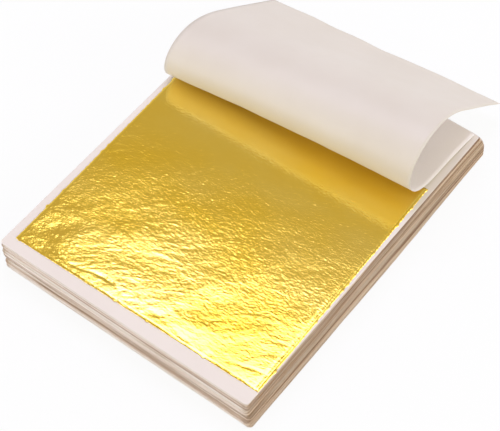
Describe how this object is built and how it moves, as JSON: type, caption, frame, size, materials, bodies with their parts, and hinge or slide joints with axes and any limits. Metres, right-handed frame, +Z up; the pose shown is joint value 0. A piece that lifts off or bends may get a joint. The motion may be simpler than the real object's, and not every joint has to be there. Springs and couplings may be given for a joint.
{
  "type": "metal leaf booklet",
  "caption": "Glued block of thin pages interleaved with loose squares of gold-coloured metal leaf; the top page curls back over the spine and shows a leaf.",
  "frame": {"origin": "middle of the underside of the closed block, where it lies on the table", "axes": "+X along the spine, +Y towards the spine, +Z up"},
  "size_m": [0.0891, 0.1332, 0.0363],
  "materials": {
    "paper": "smooth thin tissue, faintly glazed",
    "page_edges": "cut edges, unglazed",
    "leaf": "bright, crinkled",
    "glue": "thin dried padding glue"
  },
  "bodies": {
    "lower_block": {"pages_01": "page_edges", "pages_02": "page_edges", "pages_03": "page_edges", "pages_04": "page_edges", "pages_05": "page_edges", "leaves_01": "leaf", "leaves_02": "leaf", "leaves_03": "leaf", "leaves_04": "leaf", "leaves_05": "leaf", "spine_glue_lower": "glue"},
    "upper_block": {"pages_06": "page_edges", "pages_07": "page_edges", "pages_08": "page_edges", "pages_09": "page_edges", "pages_10": "page_edges", "leaves_06": "leaf", "leaves_07": "leaf", "leaves_08": "leaf", "leaves_09": "leaf", "leaves_10": "leaf", "spine_glue_upper": "glue"},
    "open_page": {"open_page": "paper"},
    "turned_page": {"turned_page": "paper"},
    "top_leaf": {"top_leaf": "leaf"}
  },
  "joints": [
    {"name": "block_opening", "type": "hinge", "parent": "lower_block", "child": "upper_block", "pos_m": [0, 0.06126, 0.00665], "axis": [-1, 0, 0], "range_deg": [0, 12]},
    {"name": "open_page_turn", "type": "hinge", "parent": "upper_block", "child": "open_page", "pos_m": [0, 0.05709, 0.01317], "axis": [-1, 0, 0], "range_deg": [0, 4]},
    {"name": "turned_page_turn", "type": "hinge", "parent": "open_page", "child": "turned_page", "pos_m": [0, 0.057, 0.01345], "axis": [-1, 0, 0], "range_deg": [0, 6]},
    {"name": "top_leaf_lift", "type": "slide", "parent": "open_page", "child": "top_leaf", "axis": [0, -1, 0], "range_m": [0, 0.095]}
  ]
}
